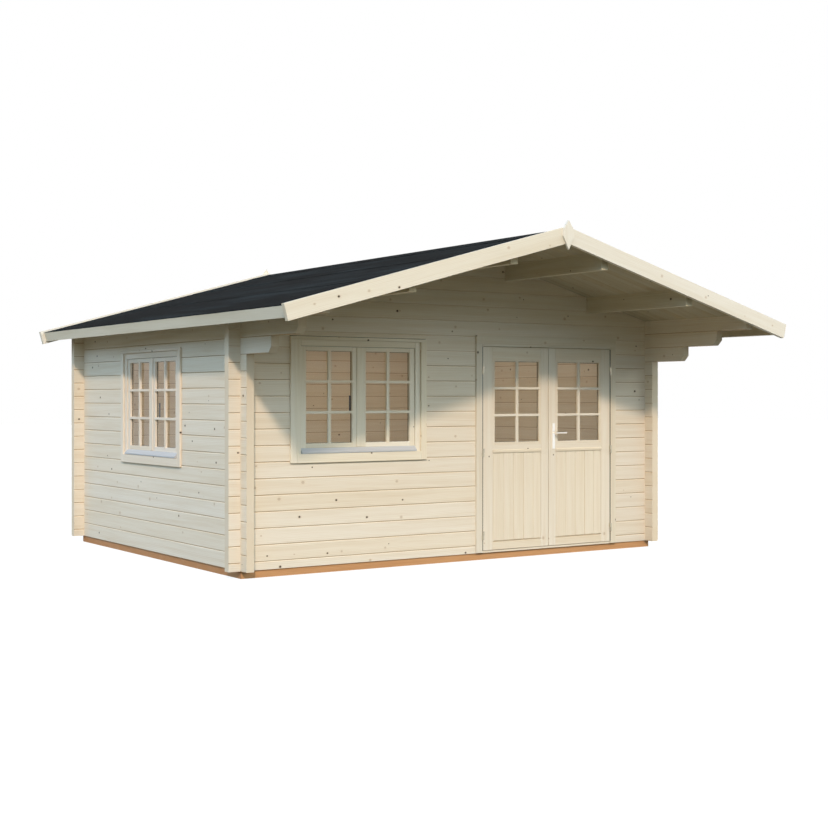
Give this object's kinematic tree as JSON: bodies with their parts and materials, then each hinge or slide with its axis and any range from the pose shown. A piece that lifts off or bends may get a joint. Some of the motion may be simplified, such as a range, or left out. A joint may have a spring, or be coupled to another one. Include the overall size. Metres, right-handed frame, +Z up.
{
  "type": "garden cabin",
  "caption": "Log garden cabin with interlocked corners, a gable roof that runs forward as a canopy, a glazed double door that swings out and casement windows.",
  "frame": {"origin": "On the ground, under the middle of the cabin's whole outline.", "axes": "+X to the cabin's right as seen from the front, +Y to the back, +Z up. The double door faces -Y."},
  "size_m": [5.186, 5.23, 2.8893],
  "materials": {
    "spruce": "planed, untreated",
    "impregnated_wood": "sawn, pressure treated",
    "sill_wood": "planed, primed",
    "roof_felt": "mineral felt, matt",
    "glass": "clear float",
    "steel": "satin, zinc plated",
    "dark_bronze": "dark, satin"
  },
  "bodies": {
    "root": {"foundation_beams": "impregnated_wood", "floor_joists": "impregnated_wood", "floor_boards": "spruce", "left_wall": "spruce", "right_wall": "spruce", "front_wall_left": "spruce", "front_wall_right": "spruce", "front_gable": "spruce", "back_wall": "spruce", "back_gable": "spruce", "left_purlins": "spruce", "right_purlins": "spruce", "left_roof_boards": "spruce", "right_roof_boards": "spruce", "left_roof_felt": "roof_felt", "right_roof_felt": "roof_felt", "front_left_barge_board": "spruce", "front_right_barge_board": "spruce", "back_left_barge_board": "spruce", "back_right_barge_board": "spruce", "left_fascia": "spruce", "right_fascia": "spruce", "front_finial": "spruce", "back_finial": "spruce", "door_frame": "spruce", "door_threshold": "spruce", "door_casing": "spruce", "door_frame_hinges": "steel", "window_frames": "spruce", "window_sills": "sill_wood", "window_sashes": "spruce", "window_glass": "glass", "window_casings": "spruce", "window_handles": "dark_bronze"},
    "left_leaf": {"left_door": "spruce", "left_door_glass": "glass", "left_door_hinges": "steel"},
    "right_leaf": {"right_door": "spruce", "right_door_glass": "glass", "right_door_hinges": "steel", "handle_plates": "steel"},
    "lever": {"door_lever": "steel"}
  },
  "joints": [
    {"name": "left_door_swing", "type": "hinge", "parent": "root", "child": "left_leaf", "pos_m": [0.177, -1.223, 1], "axis": [0, 0, -1], "range_deg": [0, 110]},
    {"name": "right_door_swing", "type": "hinge", "parent": "root", "child": "right_leaf", "pos_m": [1.695, -1.223, 1], "axis": [0, 0, 1], "range_deg": [0, 110]},
    {"name": "lever_turn", "type": "hinge", "parent": "right_leaf", "child": "lever", "pos_m": [0.9935, -1.21, 1.133], "axis": [0, 1, 0], "range_deg": [0, 40], "stiffness_Nm_per_rad": 0.8}
  ]
}
